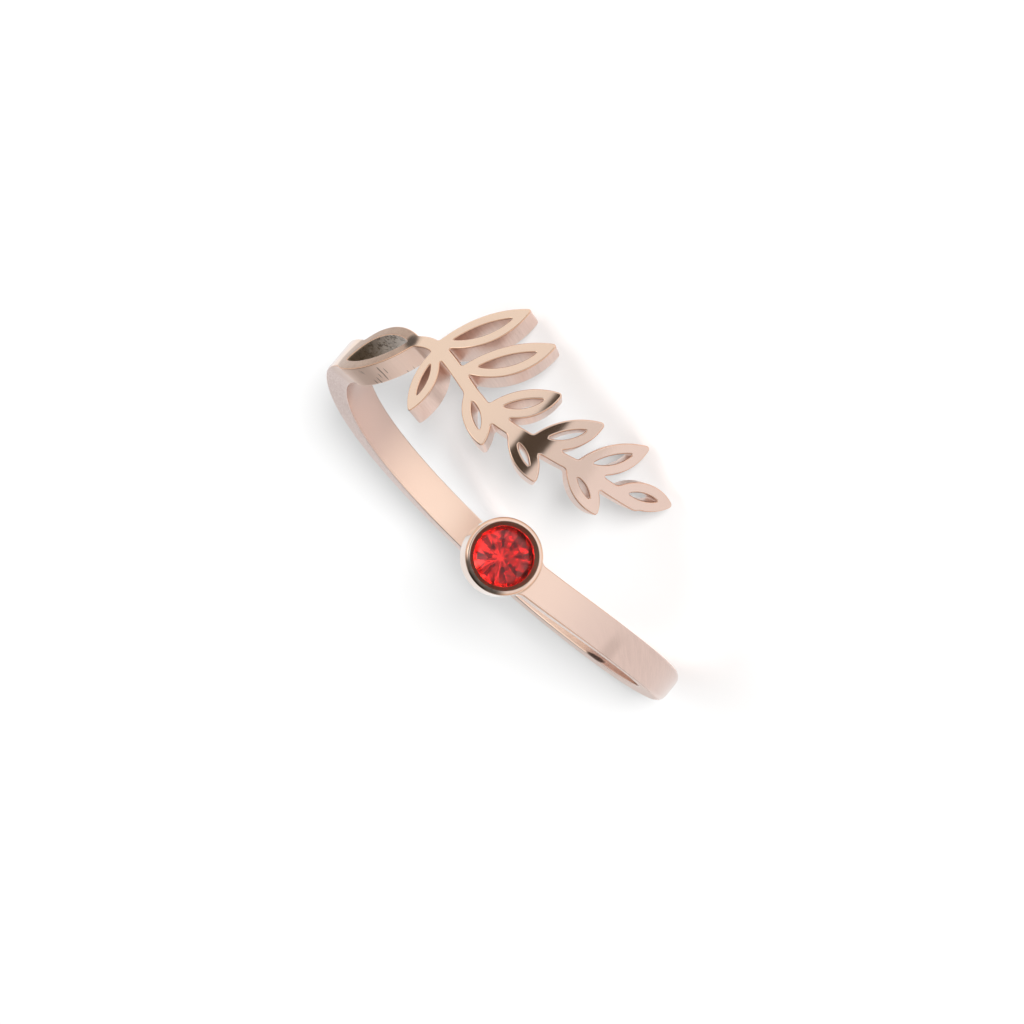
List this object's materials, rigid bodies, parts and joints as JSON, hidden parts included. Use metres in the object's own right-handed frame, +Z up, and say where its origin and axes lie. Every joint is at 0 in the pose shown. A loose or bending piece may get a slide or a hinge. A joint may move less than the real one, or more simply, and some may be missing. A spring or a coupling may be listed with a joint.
{
  "type": "open bypass ring",
  "caption": "Open bypass finger ring: one end is a round cup with a faceted red stone, the other a pierced eye running on as a leafy sprig.",
  "frame": {"origin": "centre of the base of the bounding box, on the surface that the ring lies on", "axes": "+Z up, close to the finger's axis as the ring lies on its side; -Y to the front, where the cup with the stone and the sprig pass each other"},
  "size_m": [0.0204, 0.0208, 0.0095],
  "materials": {
    "rose_gold": "mirror-polished rose-gold plating outside, satin on the cut walls",
    "red_stone": "clear faceted red stone, polished"
  },
  "bodies": {
    "root": {"ring_band": "rose_gold", "round_stone": "red_stone"}
  },
  "joints": []
}
